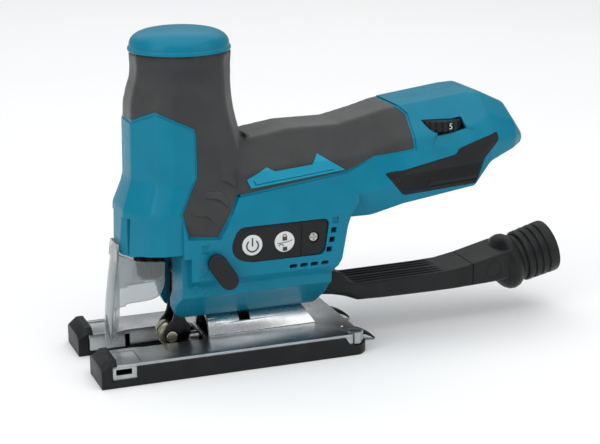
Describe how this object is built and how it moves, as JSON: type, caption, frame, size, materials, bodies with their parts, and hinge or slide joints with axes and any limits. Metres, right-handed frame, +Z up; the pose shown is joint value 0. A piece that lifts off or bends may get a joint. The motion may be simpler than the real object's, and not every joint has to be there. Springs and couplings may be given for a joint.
{
  "type": "cordless barrel grip jigsaw",
  "caption": "Cordless jigsaw with a barrel grip, vertical front column, tilting shoe, roller blade guide, clear chip guard and rear dust duct.",
  "frame": {"origin": "on the floor under the middle of the tool's bounding box, in the plane of the underside of the shoe", "axes": "+X to the rear along the barrel and the dust duct, +Y across to the tool's right side, +Z up along the stroke"},
  "size_m": [0.2836, 0.077, 0.1786],
  "materials": {
    "teal_shell": "moulded nylon, teal, fine spark texture",
    "rubber_grip": "soft overmoulded rubber, dark grey",
    "black_plastic": "moulded nylon, black",
    "panel_plastic": "semi-gloss black plastic",
    "button_grey": "light grey printed disc",
    "sole_plastic": "black sole plastic",
    "shoe_steel": "zinc plated pressed steel",
    "guide_metal": "bright die casting",
    "machined_steel": "ground steel",
    "black_steel": "black oxide steel",
    "roller_brass": "yellow zinc plated steel",
    "cast_aluminium": "cast aluminium",
    "clear_guard": "clear polycarbonate",
    "copper": "enamelled copper wire",
    "laminations": "stacked electrical steel",
    "bronze": "sintered bronze",
    "fan_plastic": "glass filled nylon",
    "board": "coated circuit board",
    "tin_contact": "tinned copper",
    "lens": "clear lens",
    "screw_steel": "zinc black screws"
  },
  "bodies": {
    "housing": {"housing_left": "teal_shell", "housing_right": "teal_shell", "grip_left": "rubber_grip", "grip_right": "rubber_grip", "accent_strip_left": "teal_shell", "accent_strip_right": "teal_shell", "top_cap": "teal_shell", "gear_housing": "cast_aluminium", "lower_bush": "bronze", "upper_bush": "bronze", "gear_bearing": "machined_steel", "stator": "laminations", "windings": "copper", "front_bearing": "machined_steel", "rear_bearing": "machined_steel", "controller": "board", "terminal_block": "black_plastic", "terminal_contacts": "tin_contact", "switch_board": "board", "holder_pin": "machined_steel", "control_panel": "panel_plastic", "panel_screw": "screw_steel", "side_panel_left": "black_plastic", "side_panel_right": "black_plastic", "dial_post": "machined_steel", "housing_screws": "screw_steel", "work_light": "lens", "base_bolt": "screw_steel", "dust_duct": "black_plastic", "duct_tail": "black_plastic"},
    "motor_rotor": {"rotor": "laminations", "motor_shaft": "machined_steel", "motor_pinion": "machined_steel", "cooling_fan": "fan_plastic"},
    "crank_gear": {"drive_gear": "machined_steel", "gear_shaft": "machined_steel", "crank_pin": "machined_steel"},
    "plunger": {"plunger": "machined_steel", "drive_yoke": "machined_steel", "blade_holder": "machined_steel"},
    "clamp_collar": {"clamp_collar": "black_plastic"},
    "counterweight": {"counterweight": "machined_steel"},
    "roller_holder": {"roller_holder": "black_steel", "roller_pin": "roller_brass"},
    "guide_roller": {"guide_roller": "roller_brass"},
    "orbit_lever": {"orbit_lever": "black_plastic", "orbit_cam": "machined_steel"},
    "power_button": {"power_button": "button_grey"},
    "lock_button": {"lock_button": "button_grey"},
    "speed_dial": {"speed_dial": "black_plastic"},
    "chip_guard": {"chip_guard": "clear_guard"},
    "shoe": {"shoe_plate": "shoe_steel", "bevel_guide": "guide_metal", "sole_cover": "sole_plastic"},
    "hose_cuff": {"hose_cuff": "black_plastic"}
  },
  "joints": [
    {"name": "motor_spin", "type": "hinge", "parent": "housing", "child": "motor_rotor", "pos_m": [-0.03179, 0, 0.098], "axis": [1, 0, 0], "continuous": true},
    {"name": "gear_spin", "type": "hinge", "parent": "housing", "child": "crank_gear", "pos_m": [-0.08179, 0, 0.12], "axis": [1, 0, 0], "continuous": true},
    {"name": "plunger_slide", "type": "slide", "parent": "housing", "child": "plunger", "axis": [0, 0, 1], "range_m": [-0.026, 0]},
    {"name": "counterweight_slide", "type": "slide", "parent": "housing", "child": "counterweight", "axis": [0, 0, 1], "range_m": [0, 0.013]},
    {"name": "clamp_collar_turn", "type": "hinge", "parent": "plunger", "child": "clamp_collar", "pos_m": [-0.10479, 0, 0.052], "axis": [0, 0, 1], "range_deg": [0, 40], "stiffness_Nm_per_rad": 0.05, "springref_deg": -17.19},
    {"name": "roller_holder_swing", "type": "hinge", "parent": "housing", "child": "roller_holder", "pos_m": [-0.08979, 0, 0.046], "axis": [0, 1, 0], "range_deg": [0, 3], "stiffness_Nm_per_rad": 0.8, "springref_deg": -2.86},
    {"name": "guide_roller_spin", "type": "hinge", "parent": "roller_holder", "child": "guide_roller", "pos_m": [-0.09529, 0, 0.0126], "axis": [0, 1, 0], "continuous": true},
    {"name": "orbit_lever_turn", "type": "hinge", "parent": "housing", "child": "orbit_lever", "pos_m": [-0.07779, -0.033, 0.06], "axis": [0, 1, 0], "range_deg": [0, 78]},
    {"name": "power_button_press", "type": "slide", "parent": "housing", "child": "power_button", "axis": [0, 1, 0], "range_m": [0, 0.001], "stiffness_N_per_m": 800, "springref_m": -0.0012},
    {"name": "lock_button_press", "type": "slide", "parent": "housing", "child": "lock_button", "axis": [0, 1, 0], "range_m": [0, 0.001], "stiffness_N_per_m": 800, "springref_m": -0.0012},
    {"name": "speed_dial_turn", "type": "hinge", "parent": "housing", "child": "speed_dial", "pos_m": [0.05521, -0.0186, 0.1218], "axis": [0, 0, 1], "range_deg": [-150, 30]},
    {"name": "chip_guard_raise", "type": "slide", "parent": "housing", "child": "chip_guard", "axis": [0, 0, 1], "range_m": [0, 0.02]},
    {"name": "shoe_tilt", "type": "hinge", "parent": "housing", "child": "shoe", "pos_m": [-0.05479, 0, 0.011], "axis": [1, 0, 0], "range_deg": [-45, 45]},
    {"name": "hose_cuff_swivel", "type": "hinge", "parent": "housing", "child": "hose_cuff", "pos_m": [0.11521, 0, 0.031], "axis": [0.9703, 0, 0.2419], "continuous": true}
  ],
  "couplings": [
    {"joint": "gear_spin", "follows": "motor_spin", "ratio": -0.25714},
    {"joint": "counterweight_slide", "follows": "plunger_slide", "ratio": -0.5}
  ]
}
